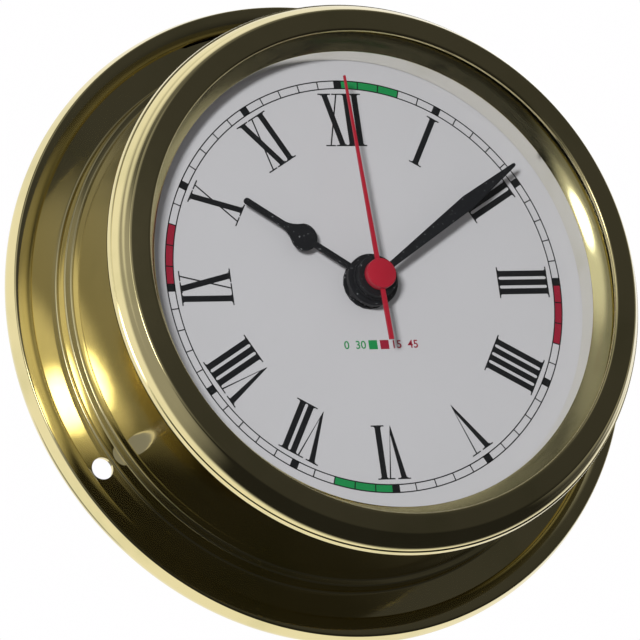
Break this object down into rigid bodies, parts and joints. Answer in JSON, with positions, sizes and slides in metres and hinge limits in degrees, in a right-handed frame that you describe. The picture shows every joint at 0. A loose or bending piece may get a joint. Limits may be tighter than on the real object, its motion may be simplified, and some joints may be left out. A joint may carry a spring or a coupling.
{
  "type": "marine clock",
  "caption": "Round brass bulkhead clock: flanged case, screw-on bezel with glass, white dial, hour, minute and second hands and a battery quartz movement.",
  "frame": {"origin": "centre of the case on the wall plane, which is the rear face of the flange's hem", "axes": "the dial faces -Y, +Y goes into the wall, +Z points to 12 o'clock and +X to 3 o'clock"},
  "size_m": [0.15, 0.042, 0.15],
  "materials": {
    "polished_brass": "polished",
    "turned_brass": "turned",
    "dial_paint": "matt",
    "clear_glass": "clear",
    "hand_black": "matt",
    "hand_red": "matt",
    "black_rubber": "matt",
    "movement_plastic": "moulded",
    "wheel_plastic": "moulded",
    "plated_steel": "plated",
    "coil_copper": "enamelled wire",
    "board_green": "solder resist",
    "battery_shell": "satin"
  },
  "bodies": {
    "case": {"case_body": "polished_brass", "seat_ring": "turned_brass", "dial_plate": "dial_paint", "dial_screw_1": "plated_steel", "dial_screw_2": "plated_steel", "dial_screw_3": "plated_steel", "rubber_washer": "black_rubber", "flat_washer": "hand_black", "hex_nut": "hand_black", "movement_tray": "movement_plastic", "movement_lid": "movement_plastic", "train_plate": "wheel_plastic", "stator": "plated_steel", "coil": "coil_copper", "coil_core": "plated_steel", "circuit_board": "board_green", "quartz_crystal": "plated_steel", "driver_chip": "hand_black", "positive_contact": "plated_steel", "negative_contact": "plated_steel"},
    "glazing": {"glass": "clear_glass", "glass_gasket": "black_rubber"},
    "bezel": {"bezel_ring": "polished_brass", "reflector_ring": "polished_brass", "retaining_ring": "polished_brass"},
    "hour": {"hour_hand": "hand_black", "hour_wheel": "wheel_plastic"},
    "minute": {"minute_hand": "hand_black", "minute_tube": "turned_brass", "clutch_washer": "plated_steel"},
    "motion": {"motion_wheel": "wheel_plastic", "set_knob": "wheel_plastic"},
    "second": {"second_hand": "hand_red", "seconds_wheel": "turned_brass"},
    "intermediate": {"intermediate_wheel": "turned_brass"},
    "rotor_body": {"rotor": "plated_steel"},
    "third": {"third_wheel": "turned_brass"},
    "centre": {"centre_wheel": "turned_brass"},
    "cell": {"battery": "battery_shell"}
  },
  "joints": [
    {"name": "bezel_travel", "type": "slide", "parent": "case", "child": "glazing", "axis": [0, -1, 0], "range_m": [0, 0.0045]},
    {"name": "bezel_turn", "type": "hinge", "parent": "glazing", "child": "bezel", "pos_m": [0, 0, 0], "axis": [0, -1, 0], "range_deg": [0, 1080]},
    {"name": "minute_turn", "type": "hinge", "parent": "case", "child": "minute", "pos_m": [0, 0, 0], "axis": [0, 1, 0], "continuous": true},
    {"name": "hour_turn", "type": "hinge", "parent": "case", "child": "hour", "pos_m": [0, 0, 0], "axis": [0, 1, 0], "continuous": true},
    {"name": "motion_turn", "type": "hinge", "parent": "case", "child": "motion", "pos_m": [0.00831, 0, -0.0048], "axis": [0, 1, 0], "continuous": true},
    {"name": "second_turn", "type": "hinge", "parent": "case", "child": "second", "pos_m": [0, 0, 0], "axis": [0, 1, 0], "continuous": true},
    {"name": "intermediate_turn", "type": "hinge", "parent": "case", "child": "intermediate", "pos_m": [0.00535, 0, 0.00535], "axis": [0, 1, 0], "continuous": true},
    {"name": "rotor_turn", "type": "hinge", "parent": "case", "child": "rotor_body", "pos_m": [0.00859, 0, 0.01096], "axis": [0, 1, 0], "continuous": true},
    {"name": "third_turn", "type": "hinge", "parent": "case", "child": "third", "pos_m": [-0.00918, 0, 0], "axis": [0, 1, 0], "continuous": true},
    {"name": "centre_turn", "type": "hinge", "parent": "case", "child": "centre", "pos_m": [0, 0, 0], "axis": [0, 1, 0], "continuous": true},
    {"name": "battery_slide", "type": "slide", "parent": "case", "child": "cell", "axis": [0, 1, 0], "range_m": [0, 0.016]}
  ],
  "couplings": [
    {"joint": "bezel_travel", "follows": "bezel_turn", "m_per_rad": 0.0002387},
    {"joint": "hour_turn", "follows": "minute_turn", "ratio": 0.083333},
    {"joint": "motion_turn", "follows": "minute_turn", "ratio": -0.33333},
    {"joint": "intermediate_turn", "follows": "second_turn", "ratio": -6},
    {"joint": "rotor_turn", "follows": "second_turn", "ratio": 30},
    {"joint": "third_turn", "follows": "second_turn", "ratio": -0.13333},
    {"joint": "centre_turn", "follows": "second_turn", "ratio": 0.016667}
  ]
}
